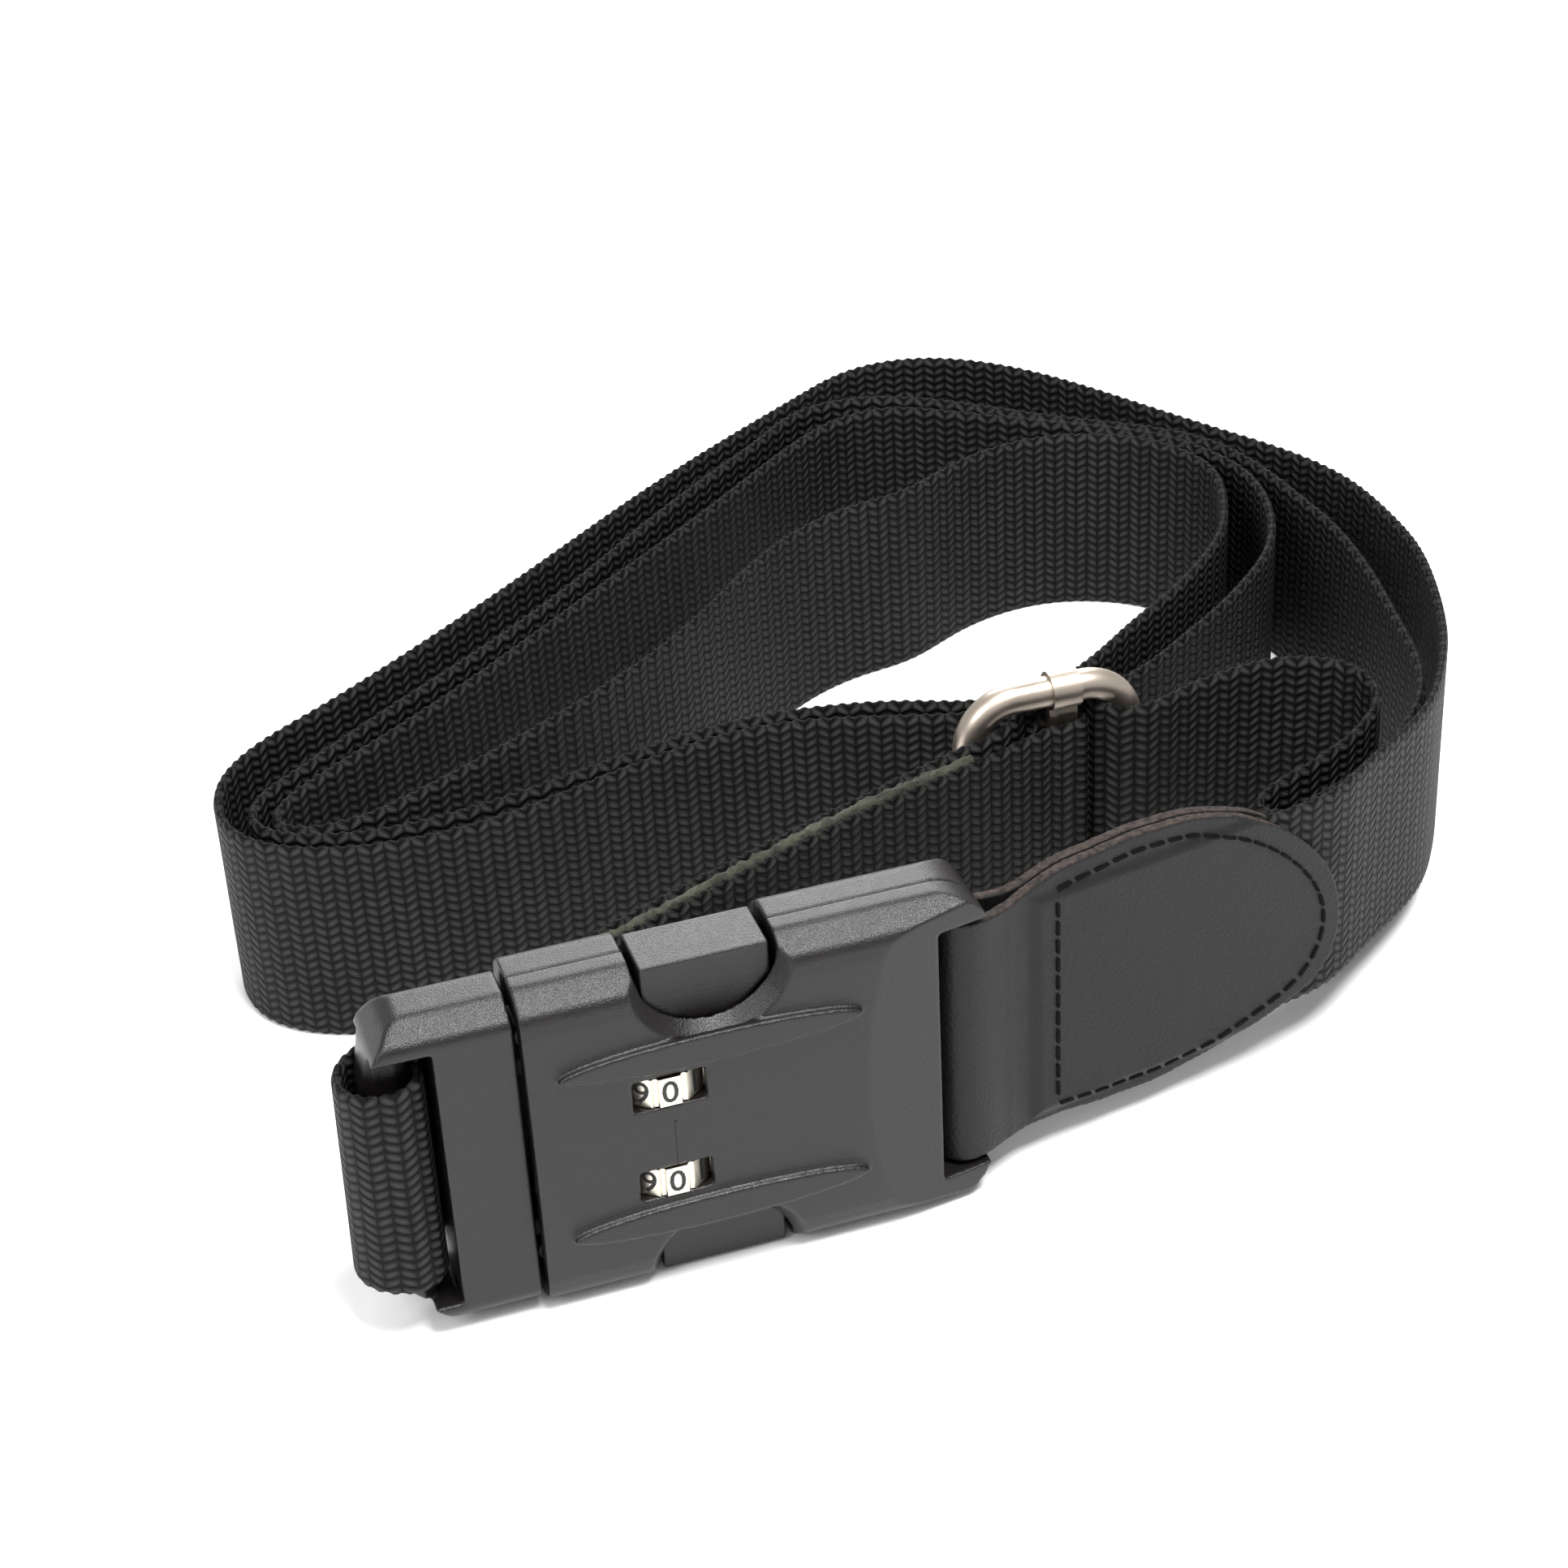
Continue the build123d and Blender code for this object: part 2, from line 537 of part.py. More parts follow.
# ---- leather patch -----------------------------------------------------------------------------
with BuildPart() as leather_patch:
    with BuildSketch(Plane(leather_plane().origin - Vector(0, 0, MID_Z), x_dir=leather_plane().x_dir)):
        with BuildLine():
            wrap = ThreePointArc((0, -3.55), (-3.55, 0), (0, 3.55))
            Spline(wrap @ 0, (9, -LEATHER_SPREAD), tangents=[(1, 0), (1, 0)])
            Spline(wrap @ 1, (9, LEATHER_SPREAD), tangents=[(1, 0), (1, 0)])
            Line((9, -LEATHER_SPREAD), (LEATHER_TIP + 2, -LEATHER_SPREAD))
            Line((9, LEATHER_SPREAD), (LEATHER_TIP + 2, LEATHER_SPREAD))
        trace(line_width=LEATHER_THICK)
    extrude(amount=BUCKLE_WIDTH + 4)
    with BuildSketch(leather_plane(-12)):
        with BuildLine():
            Spline(
                (-6, 22), (3, 21.8), (8, 21.6), (14, 23.4), (24, 24.8), (36, 25), (47, 22.8),
                (57, 17.6), (64, 11), (68.4, 4), (LEATHER_TIP, -3.5), (69, -10), (65.5, -14.8),
                (59, -17.8), (50, -20.6), (36, -23), (22, -22.6), (13, -22), (7, -22.2),
                (3, -22.2), (-6, -22.2),
            )
            Line((-6, -22.2), (-6, 22))
        make_face()
    extrude(amount=24, mode=Mode.INTERSECT)
finish(leather_patch.part, "leather_patch")

with BuildPart() as leather_stitching:
    for face, lift in ((-1, 0), (1, 0.3)):
        plane = leather_plane(face * (LEATHER_SPREAD + LEATHER_THICK / 2) + lift)
        with BuildLine(Plane.XY, mode=Mode.PRIVATE) as seam:
            Spline(
                (16, 20.8), (25, 22), (34, 22.4), (43, 20.9), (51, 17.4), (58, 12.2), (63.4, 6),
                (66.6, -2), (65.6, -8.6), (62, -13.2), (56, -16.2), (48, -18.7), (36, -20.7),
                (25, -20.3), (16, -19.4),
            )
            Line((16, -17.9), (16, 19.3))
        for edge in seam.line.edges():
            count = int(edge.length / STITCH_PITCH)
            for index in range(count):
                middle = edge @ ((index + 0.5) / count)
                along = edge % ((index + 0.5) / count)
                with BuildSketch(plane):
                    with Locations(Location((middle.X, middle.Y, 0),
                                            (0, 0, math.degrees(math.atan2(along.Y, along.X))))):
                        SlotOverall(STITCH_LENGTH, STITCH_THICK)
                extrude(amount=-0.3)
finish(leather_stitching.part, "leather_stitching")
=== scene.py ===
import math

import bpy
import numpy as np
from mathutils import Matrix, Vector


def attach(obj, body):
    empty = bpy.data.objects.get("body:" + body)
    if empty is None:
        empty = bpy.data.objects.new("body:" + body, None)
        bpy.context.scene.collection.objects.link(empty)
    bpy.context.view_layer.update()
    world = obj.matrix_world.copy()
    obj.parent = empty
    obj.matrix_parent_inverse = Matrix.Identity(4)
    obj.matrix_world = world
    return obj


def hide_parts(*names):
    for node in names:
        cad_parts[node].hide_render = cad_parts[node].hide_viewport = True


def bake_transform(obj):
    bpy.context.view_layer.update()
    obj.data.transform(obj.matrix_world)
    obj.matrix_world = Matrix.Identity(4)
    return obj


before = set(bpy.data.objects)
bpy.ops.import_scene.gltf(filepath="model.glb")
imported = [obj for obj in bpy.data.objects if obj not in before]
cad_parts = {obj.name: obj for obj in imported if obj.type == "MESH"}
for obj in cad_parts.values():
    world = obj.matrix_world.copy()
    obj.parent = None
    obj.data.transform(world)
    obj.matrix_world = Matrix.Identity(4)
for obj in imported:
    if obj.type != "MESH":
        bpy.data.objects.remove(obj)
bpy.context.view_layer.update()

# Plan coordinates are millimetres from the buckle's plug line, as in the CAD source.
CENTRE = (84.7, 108.7)
MID = 28.5
WEB_WIDTH, WEB_HALF = 38.0, 0.75
STEP = 0.55                 # mesh step along the webbing
ROW, COLUMN = 1.73, 2.2     # pitch of the weave across and along
DIAL = (21.3, 6.2)          # plan place of both dials' axis
DIAL_FLAT = 6.875           # from that axis to the print on a dial's flats
DIGIT_SIZE = 5.4
LEATHER_START = (69.3, 8.0)
LEATHER_TURN = math.radians(11)
LAYER_CLOSING = 0.72        # how far each leather layer moves in


def metres(points):
    """Plan millimetres to the part's frame in metres."""
    p = np.asarray(points, float) - np.array([CENTRE[0], CENTRE[1], 0.0])
    return p / 1000


def twin_of(node_name, new_name):
    """A copy of a CAD node's mesh, which may change its shape."""
    twin = bpy.data.objects.new(new_name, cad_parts[node_name].data.copy())
    bpy.context.collection.objects.link(twin)
    return twin


def make(name, points, faces, material, uv=None, sharp=40):
    mesh = bpy.data.meshes.new(name)
    mesh.from_pydata(metres(points).tolist(), [], [list(map(int, f)) for f in faces])
    mesh.materials.append(material)
    if uv is not None:
        layer = mesh.uv_layers.new(name="weave")
        index = np.empty(len(mesh.loops), int)
        mesh.loops.foreach_get("vertex_index", index)
        layer.data.foreach_set("uv", np.asarray(uv, float)[index].ravel())
    mesh.shade_smooth()
    mesh.set_sharp_from_angle(angle=math.radians(sharp))
    obj = bpy.data.objects.new(name, mesh)
    bpy.context.collection.objects.link(obj)
    return obj


# ---- materials --------------------------------------------------------------------------------
class Nodes:
    """A material with short calls for its nodes."""

    def __init__(self, name, roughness, metallic=0.0, specular=0.5):
        self.material = bpy.data.materials.new(name)
        self.material.use_nodes = True
        self.tree = self.material.node_tree
        self.shader = self.tree.nodes["Principled BSDF"]
        self.shader.inputs["Roughness"].default_value = roughness
        self.shader.inputs["Metallic"].default_value = metallic
        self.shader.inputs["Specular IOR Level"].default_value = specular

    def add(self, kind, **values):
        node = self.tree.nodes.new(kind)
        for key, value in values.items():
            if key in node.inputs:
                self.put(node.inputs[key], value)
            else:
                setattr(node, key, value)
        return node

    def put(self, socket, value):
        if isinstance(value, bpy.types.NodeSocket):
            self.tree.links.new(value, socket)
        else:
            socket.default_value = value

    def math(self, operation, a, b=0.0):
        node = self.tree.nodes.new("ShaderNodeMath")
        node.operation = operation
        self.put(node.inputs[0], a)
        self.put(node.inputs[1], b)
        return node.outputs[0]

    def ramp(self, factor, low, high, dark, light):
        node = self.tree.nodes.new("ShaderNodeValToRGB")
        self.put(node.inputs["Fac"], factor)
        first, last = node.color_ramp.elements
        first.position, last.position = low, high
        first.color, last.color = (*dark, 1), (*light, 1)
        return node.outputs["Color"]

    def noise(self, scale, detail=3.0, roughness=0.55):
        where = self.add("ShaderNodeTexCoord").outputs["Object"]
        node = self.add("ShaderNodeTexNoise", Vector=where, Scale=scale, Detail=detail)
        node.inputs["Roughness"].default_value = roughness
        return node.outputs["Fac"]

    def bump(self, height, distance, strength=1.0):
        node = self.add("ShaderNodeBump", Height=height, Distance=distance, Strength=strength)
        return node.outputs["Normal"]

    def done(self, color=None, normal=None, roughness=None):
        for key, value in (("Base Color", color), ("Normal", normal), ("Roughness", roughness)):
            if value is not None:
                self.put(self.shader.inputs[key], value)
        return self.material


def webbing_material():
    n = Nodes("webbing_weave", 0.6, specular=0.13)
    uv = n.add("ShaderNodeUVMap", uv_map="weave").outputs["UV"]
    part = n.add("ShaderNodeSeparateXYZ", Vector=uv)
    along, across = part.outputs[0], part.outputs[1]
    wave = n.math("PINGPONG", n.math("DIVIDE", along, COLUMN), 1.0)
    slant = n.math("MULTIPLY", n.math("SUBTRACT", wave, 0.5), 0.6)
    row = n.math("ADD", n.math("DIVIDE", across, ROW), slant)
    across_wave = n.math("SINE", n.math("MULTIPLY", row, math.pi))
    along_wave = n.math("SINE", n.math("MULTIPLY", along, math.pi / COLUMN))
    rope = n.math("POWER", n.math("ABSOLUTE", across_wave), 1.3)
    knot = n.math("POWER", n.math("ABSOLUTE", along_wave), 0.7)
    lift = n.math("MULTIPLY", rope, n.math("ADD", n.math("MULTIPLY", knot, 0.85), 0.15))
    twist = n.math("SINE", n.math("MULTIPLY", n.math("ADD", along, n.math("MULTIPLY", across, 1.6)), 11.0))
    fibre = n.noise(5200, 2.0)
    fine = n.math("ADD", n.math("MULTIPLY", fibre, 0.15), n.math("MULTIPLY", twist, 0.05))
    height = n.math("ADD", lift, fine)
    cloud = n.noise(90, 2.0)
    # painted shade and highlight: the colour follows the weave's height, dark in the grooves and between
    # the knots and light on the crests, and the fibre noise and the random cloud add a real tone on top
    painted_groove_shade_and_tone = n.math("MULTIPLY", n.math("ADD", lift, n.math("MULTIPLY", fibre, 0.12)),
                  n.math("ADD", n.math("MULTIPLY", cloud, 0.5), 0.75))
    color = n.ramp(painted_groove_shade_and_tone, 0.25, 1.0, (0.0008, 0.0008, 0.0010), (0.034, 0.033, 0.031))
    return n.done(color, n.bump(height, 0.00050, 1.0))


def plastic_material(name, color, roughness=0.4, grain=0.00006, specular=0.5):
    n = Nodes(name, roughness, specular=specular)
    fine, coarse = n.noise(4600, 2.0), n.noise(260, 2.0)
    light = tuple(1.25 * c for c in color)
    shade = n.ramp(coarse, 0.3, 0.7, color, light)
    rough = n.math("ADD", n.math("MULTIPLY", coarse, 0.12), roughness - 0.06)
    return n.done(shade, n.bump(fine, grain, 0.8), rough)


def leather_material():
    """Fine grain on the faces, and a rougher brown where the cut edge shows."""
    n = Nodes("leather_grain", 0.5, specular=0.26)
    where = n.add("ShaderNodeTexCoord").outputs["Object"]
    pebble = n.add("ShaderNodeTexVoronoi", Vector=where, Scale=1500.0).outputs["Distance"]
    crease = n.noise(700, 4.0, 0.6)
    cloud, scuff = n.noise(70, 3.0), n.noise(900, 3.0)
    face = n.ramp(cloud, 0.3, 0.75, (0.0048, 0.0048, 0.0050), (0.0088, 0.0088, 0.0090))
    cut = n.ramp(scuff, 0.35, 0.7, (0.008, 0.0065, 0.006), (0.050, 0.036, 0.030))
    facing = n.add("ShaderNodeNewGeometry").outputs["Normal"]
    parts = []
    for direction in ((0, 0, 1), (0, 0, -1), (math.cos(LEATHER_TURN), math.sin(LEATHER_TURN), 0)):
        dot = n.add("ShaderNodeVectorMath", operation="DOT_PRODUCT")
        n.put(dot.inputs[0], facing)
        dot.inputs[1].default_value = direction
        parts.append(dot.outputs["Value"])
    side = n.math("MAXIMUM", n.math("MAXIMUM", parts[0], parts[1]), parts[2])
    mask = n.math("MULTIPLY", n.math("SUBTRACT", side, 0.62), 6.0)
    mask = n.math("MINIMUM", n.math("MAXIMUM", mask, 0.0), 1.0)
    mix = n.add("ShaderNodeMix", data_type="RGBA")
    n.put(mix.inputs[0], mask)
    n.put(mix.inputs[6], face)
    n.put(mix.inputs[7], cut)
    height = n.math("ADD", n.math("MULTIPLY", pebble, 0.6), n.math("MULTIPLY", crease, 0.5))
    height = n.math("ADD", height, n.math("MULTIPLY", n.math("MULTIPLY", scuff, mask), 2.5))
    edge_rough = n.math("ADD", 0.40, n.math("MULTIPLY", mask, 0.3))
    rough = n.math("ADD", n.math("MULTIPLY", cloud, 0.2), edge_rough)
    return n.done(mix.outputs[2], n.bump(height, 0.00012, 0.8), rough)


def metal_material(name, color, roughness, scratch=0.00002):
    n = Nodes(name, roughness, 1.0)
    fine, cloud = n.noise(1800, 2.0), n.noise(120, 2.0)
    shade = n.ramp(cloud, 0.3, 0.7, tuple(0.86 * c for c in color), color)
    rough = n.math("ADD", n.math("MULTIPLY", cloud, 0.16), roughness - 0.06)
    return n.done(shade, n.bump(fine, scratch, 0.5), rough)


def fabric_material(name, dark, light, sheen=0.0):
    n = Nodes(name, 0.85, specular=0.08)
    fibre, cloud = n.noise(2600, 4.0, 0.7), n.noise(300, 3.0)
    shade = n.ramp(n.math("MULTIPLY", n.math("ADD", fibre, cloud), 0.5), 0.35, 0.65, dark, light)
    n.shader.inputs["Sheen Weight"].default_value = sheen
    return n.done(shade, n.bump(fibre, 0.0002, 0.9))


WEBBING = webbing_material()
HOUSING = plastic_material("housing_plastic", (0.0068, 0.0056, 0.0055), 0.31, 0.00011, 0.42)
INNER = plastic_material("inner_plastic", (0.10, 0.10, 0.10), 0.5)
LEATHER = leather_material()
SLIDER = metal_material("slider_nickel", (0.60, 0.52, 0.44), 0.36)
DIALS = metal_material("dial_nickel", (0.80, 0.75, 0.64), 0.26)
STEEL = metal_material("steel", (0.6, 0.6, 0.6), 0.3)
THREAD = fabric_material("thread_black", (0.0015, 0.0015, 0.0015), (0.006, 0.006, 0.006))
LINING = fabric_material("lining_felt", (0.012, 0.013, 0.009), (0.070, 0.070, 0.052), 0.1)
INK = plastic_material("digit_ink", (0.006, 0.006, 0.006), 0.5)
node_materials = {
    "female_front_shell": HOUSING, "female_back_shell": HOUSING, "male_frame": HOUSING,
    "release_arm_lower": HOUSING, "release_arm_upper": HOUSING, "shell_screws": STEEL,
    "sleeve_lower": INNER, "sleeve_upper": INNER, "lock_plate": STEEL, "lock_spring": STEEL,
    "detent_spring": STEEL, "dial_spindle": STEEL, "slider_ring": SLIDER, "slider_bar": SLIDER,
    "dial_lower": DIALS, "dial_upper": DIALS, "leather_patch": LEATHER, "leather_stitching": THREAD,
    "lining_strip": LINING,
}
for node_name, material in node_materials.items():
    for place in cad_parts[node_name].material_slots:
        place.material = material


# ---- moulded pieces: the CAD pieces with the round edges of a mould -----------------------------
def round_edges(obj, voxel, rounds):
    """Modifiers that give an object the round edges of a mould. voxel is in millimetres."""
    remesh = obj.modifiers.new("skin", "REMESH")
    remesh.mode = "VOXEL"
    remesh.voxel_size = voxel / 1000
    remesh.use_smooth_shade = True
    smooth = obj.modifiers.new("round", "SMOOTH")
    smooth.factor, smooth.iterations = 0.5, rounds


for node_name, voxel, rounds in (
    ("female_front_shell", 0.26, 8), ("female_back_shell", 0.32, 9), ("male_frame", 0.28, 12),
    ("release_arm_upper", 0.24, 10), ("release_arm_lower", 0.24, 10),
):
    round_edges(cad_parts[node_name], voxel, rounds)


def pressed(node_name, new_name, voxel, rounds):
    """A copy of a leather node whose two layers close on each other around the webbing."""
    twin = twin_of(node_name, new_name)
    if rounds:
        round_edges(twin, voxel, rounds)
        shown = twin.evaluated_get(bpy.context.evaluated_depsgraph_get())
        twin.data = bpy.data.meshes.new_from_object(shown)
        twin.modifiers.clear()
    points = np.empty(len(twin.data.vertices) * 3)
    twin.data.vertices.foreach_get("co", points)
    points = points.reshape(-1, 3)
    ahead = np.array([math.cos(LEATHER_TURN), math.sin(LEATHER_TURN), 0])
    through = np.array([math.sin(LEATHER_TURN), -math.cos(LEATHER_TURN), 0])
    start = metres([*LEATHER_START, MID])
    reach = (points - start) @ ahead * 1000
    depth = (points - start) @ through * 1000
    level = np.abs(points[:, 2] * 1000 - MID)
    # the layers close above and below the webbing and before it starts, but not at the bar
    closing = np.clip(np.maximum((level - 19.2) / 2.2, (13.5 - reach) / 2.5), 0, 1)
    closing = closing ** 2 * (3 - 2 * closing) * np.clip((reach - 7.5) / 3.5, 0, 1)
    sag = 0.25 * np.sin(reach * 0.55 + 1.0) * np.clip((level - 17) / 4, 0, 1)
    shift = -np.sign(depth) * LAYER_CLOSING * closing + 0.35 * sag * np.clip((reach - 8) / 6, 0, 1)
    points += shift[:, None] / 1000 * through
    twin.data.vertices.foreach_set("co", points.ravel())
    twin.data.shade_smooth()
    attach(twin, "female")
    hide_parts(node_name)
    return twin


patch = pressed("leather_patch", "leather_cover", 0.26, 4)
seams = pressed("leather_stitching", "leather_seams", 0.2, 0)

spring = twin_of("lock_spring", "return_spring")
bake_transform(spring)
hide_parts("lock_spring")

# the index line between the dials, raised by a hair
marks = [(x, y, z) for x in (21.6, 21.9) for y in (-0.72, -0.3) for z in (23.4, 31.2)]
mark_faces = [(0, 1, 3, 2), (4, 6, 7, 5), (0, 4, 5, 1), (2, 3, 7, 6), (0, 2, 6, 4), (1, 5, 7, 3)]
index_line = make("index_line", marks, mark_faces, HOUSING)
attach(index_line, "female")


def lettering(name, dial_level, material):
    """The ten digits of one dial, as a thin print on its flats."""
    points, faces = [], []
    for digit in range(10):
        words = bpy.data.curves.new("digit", "FONT")
        words.body, words.size = str(digit), DIGIT_SIZE
        words.align_x, words.align_y = "CENTER", "CENTER"
        words.resolution_u = 3
        words.offset = 0.06
        shape = bpy.data.objects.new("digit", words)
        flat = shape.to_mesh()
        low = [v.co.y for v in flat.vertices]
        rise = (min(low) + max(low)) / 2
        angle = math.radians(-90 + 36 * digit)
        across, out = (-math.sin(angle), math.cos(angle)), (math.cos(angle), math.sin(angle))
        start = len(points)
        for v in flat.vertices:
            a, b = v.co.x, v.co.y - rise
            points.append((DIAL[0] + out[0] * DIAL_FLAT + across[0] * a,
                           DIAL[1] + out[1] * DIAL_FLAT + across[1] * a, dial_level + b))
        faces += [[start + i for i in f.vertices] for f in flat.polygons]
        shape.to_mesh_clear()
        bpy.data.objects.remove(shape)
    return make(name, points, faces, material)


for level, body, name in ((20.2, "dial_low", "digits_lower"), (36.8, "dial_high", "digits_upper")):
    digits = lettering(name, level, INK)
    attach(digits, body)


# ---- webbing ------------------------------------------------------------------------------------
# Plan points of the strap's middle line, from the leather through the coil to the sewn fold.
RUN = [
    (83, 10.66), (100, 13.97), (118, 17.47), (138, 21.36), (147.4, 28.2), (159, 37.5), (168, 46),
    (173, 52.6), (179, 62), (185.5, 74), (191.5, 89), (195.7, 104), (197, 119), (196, 133),
    (191, 147), (183, 161), (172, 180), (161, 198), (149, 211), (137, 217), (124, 216.4),
    (112, 210), (92, 197), (68, 180), (40, 158), (12, 137), (-8, 123.5),
    (-19, 116), (-25.5, 108), (-27.6, 98), (-26, 91), (-21.5, 85.3), (-13, 80.6),
    (-3, 78.3), (8, 78), (20, 79.8), (34, 84), (48, 87.6), (62, 89.3), (75, 87.3), (86, 83.6),
    (97, 80), (110, 77.6), (121, 78.4), (130, 81.4), (142.6, 89.3), (153, 96.7), (162, 104.3),
    (170, 112.7), (176, 123), (179.4, 134), (179.8, 144.4),
    (177, 154), (171.5, 163.2), (164, 170.2), (154, 177.6), (145, 184.3),
    (135, 191.7), (126, 196.6), (117, 196.6), (103, 189), (80, 170), (48, 145), (15, 119.6),
    (-3, 107.6), (-12, 101.6), (-17.5, 96.6), (-19, 93), (-17.4, 89.4), (-12.6, 87.6),
    (-6.5, 87.8), (4, 91.6), (20, 99.6), (35, 108), (63, 128), (95, 155.5),
    (106, 159.4), (116, 161.4), (128, 167.4), (140, 171.6), (152, 171.6), (160.5, 168.4),
    (167, 163.7), (172.2, 156.6), (174.6, 147), (171.5, 134.5), (165.5, 123), (158, 114.5),
    (147, 105), (135.7, 96.8), (124, 88), (112, 82.7), (100.5, 83), (91, 86.8), (77, 91), (62, 92.5),
    (48, 90.9), (34, 88), (18, 84.4), (4, 82.6), (-5, 82.9), (-13, 84.9), (-19.5, 88.4),
    (-22.7, 94), (-20.9, 99.8), (-15, 105), (0, 116), (27, 135), (46, 150), (67, 169), (85, 184),
    (98, 194.4), (109, 202.6), (120, 204), (131, 200), (143, 190.7), (154, 181), (166, 171.6),
    (175, 163.4), (180.6, 154.4), (183.4, 144), (184.9, 130), (185.6, 117), (184.6, 104),
    (182.4, 91), (180, 80), (177.5, 69), (174, 60), (169.5, 53.2), (164, 47.6), (157, 42),
    (148, 36.4), (138.8, 32.3),
]
RETURN = [
    (133, 31), (131, 33.4), (133.4, 36.4), (140, 38.8), (149, 41.8), (156.4, 46),
    (160.8, 51.6), (159.6, 58.4), (152.6, 62.6), (144, 63.2), (136.2, 61.75),
]
PASS_RIGHT = [
    (131, 60.4), (126, 58.5), (121, 57.3), (117.2, 58.2), (115, 60.6), (113.5, 63.6), (110.5, 65.6),
]
PASS_LEFT = [(106, 65.4), (101.2, 62.9), (96, 59.4), (91.6, 57.9), (87.2, 56.85)]
REAR = [(80, 54.8), (68, 51), (50, 43.8), (30, 35.3), (10, 26.5), (-10.5, 18.1)]
LOOP = [
    (-16.5, 15.9), (-22, 13.7), (-25.4, 9), (-24.6, 4), (-20.5, 1.2), (-16.3, 1.6),
    (-13.9, 4.8), (-13.7, 9), (-13.6, 12.4), (-12.8, 14.9), (-10.5, 16.2),
]
FRONT = [(10, 24), (30, 32.2), (50, 40.6), (68, 47.8), (80, 51.6), (88.2, 54.1)]
FOLD = [
    (93, 55.7), (98, 57.5), (103.3, 59.3), (107.5, 60.3), (110.5, 60.3), (112.3, 62),
    (110.5, 63.75), (107.2, 63.85), (104.7, 63.2), (102.6, 61.9),
]
# Height of the strap's lower edge over the table, by the length along the strap.
BASES = [
    (0, 9.5), (60, 9.5), (130, 1.2), (170, 0), (1800, 0), (1893, 0.3), (1905, 1.0), (1925, 3.6),
    (1945, 6.8), (1960, 8.4), (1975, 8.8), (2015, 8.7), (2045, 6.9), (2100, 7.4), (2132, 9.6),
    (2182, 9.4), (2215, 6.8), (2260, 6.5), (3000, 6.6),
]
SCALLOP = 0.42              # how far the woven edge goes in and out
LEAN = (0.6, -2.6)          # plan shift of a leaning top edge against its foot


def cubic(points, step):
    """A natural cubic spline through points, read at even steps of its length."""
    p = np.asarray(points, float)
    chord = np.r_[0, np.cumsum(np.linalg.norm(np.diff(p, axis=0), axis=1))]
    h, count = np.diff(chord), len(p)
    a, b = np.eye(count), np.zeros((count, p.shape[1]))
    for i in range(1, count - 1):
        a[i, i - 1:i + 2] = h[i - 1], 2 * (h[i - 1] + h[i]), h[i]
        b[i] = 6 * ((p[i + 1] - p[i]) / h[i] - (p[i] - p[i - 1]) / h[i - 1])
    m = np.linalg.solve(a, b)

    def read(t):
        i = np.clip(np.searchsorted(chord, t, side="right") - 1, 0, count - 2)
        u, v, w = (t - chord[i])[:, None], (chord[i + 1] - t)[:, None], h[i][:, None]
        return ((m[i] * v ** 3 + m[i + 1] * u ** 3) / (6 * w)
                + (p[i] / w - m[i] * w / 6) * v + (p[i + 1] / w - m[i + 1] * w / 6) * u)

    t = np.linspace(0, chord[-1], int(chord[-1] / 0.1))
    fine = read(t)
    length = np.r_[0, np.cumsum(np.linalg.norm(np.diff(fine, axis=0), axis=1))]
    even = np.linspace(0, length[-1], int(length[-1] / step) + 1)
    stops = np.interp(chord, t, length)
    return np.stack([np.interp(even, length, fine[:, k]) for k in range(p.shape[1])], 1), even, stops


def sideways(line):
    """The unit normal in plan at each point of a line."""
    run = np.gradient(line, axis=0)
    run /= np.linalg.norm(run, axis=1)[:, None]
    return np.stack([-run[:, 1], run[:, 0]], 1)


def strip_faces(count, ring):
    """Faces of a closed strip of count rings, with ring points each, capped at both ends."""
    i, j = np.meshgrid(np.arange(count - 1), np.arange(ring), indexing="ij")
    k = (j + 1) % ring
    quads = np.stack([i * ring + j, (i + 1) * ring + j, (i + 1) * ring + k, i * ring + k], 2)
    faces = [list(f) for f in quads.reshape(-1, 4)]
    return faces + [list(range(ring)), list(range((count - 1) * ring, count * ring))[::-1]]


stretches = (RUN, RETURN, PASS_RIGHT, PASS_LEFT, REAR, LOOP, FRONT, FOLD)
centre, along, stops = cubic([point for stretch in stretches for point in stretch], STEP)
normal = sideways(centre)
base = np.interp(along, *np.array(BASES).T)
for _ in range(40):
    base[1:-1] = (base[:-2] + base[2:]) / 2

ends = np.cumsum([len(stretch) for stretch in stretches]) - 1
cuts = [0] + [int(round(stops[i] / along[-1] * (len(along) - 1))) for i in ends]
loop_from, loop_to = stops[ends[4]], stops[ends[5]]
# the loop leans: its top edge sits nearer the front than its foot
lean = np.interp(along, [loop_from - 40, loop_from + 14, loop_to - 26, loop_to - 12], [0, 1, 1, 0])

# half of the strap's rounded edge: distance in from the edge, and half thickness there
HALF_SECTION = [(0.0, 0.0), (0.12, 0.34), (0.5, 0.6), (1.1, 0.75)]
inside = np.linspace(2.6, WEB_WIDTH - 2.6, 9)
section = ([(v, t) for v, t in HALF_SECTION] + [(v, WEB_HALF) for v in inside]
           + [(WEB_WIDTH - v, t) for v, t in HALF_SECTION[::-1]]
           + [(WEB_WIDTH - v, -t) for v, t in HALF_SECTION[1:]]
           + [(v, -WEB_HALF) for v in inside[::-1]] + [(v, -t) for v, t in HALF_SECTION[:0:-1]])
section = np.array(section)


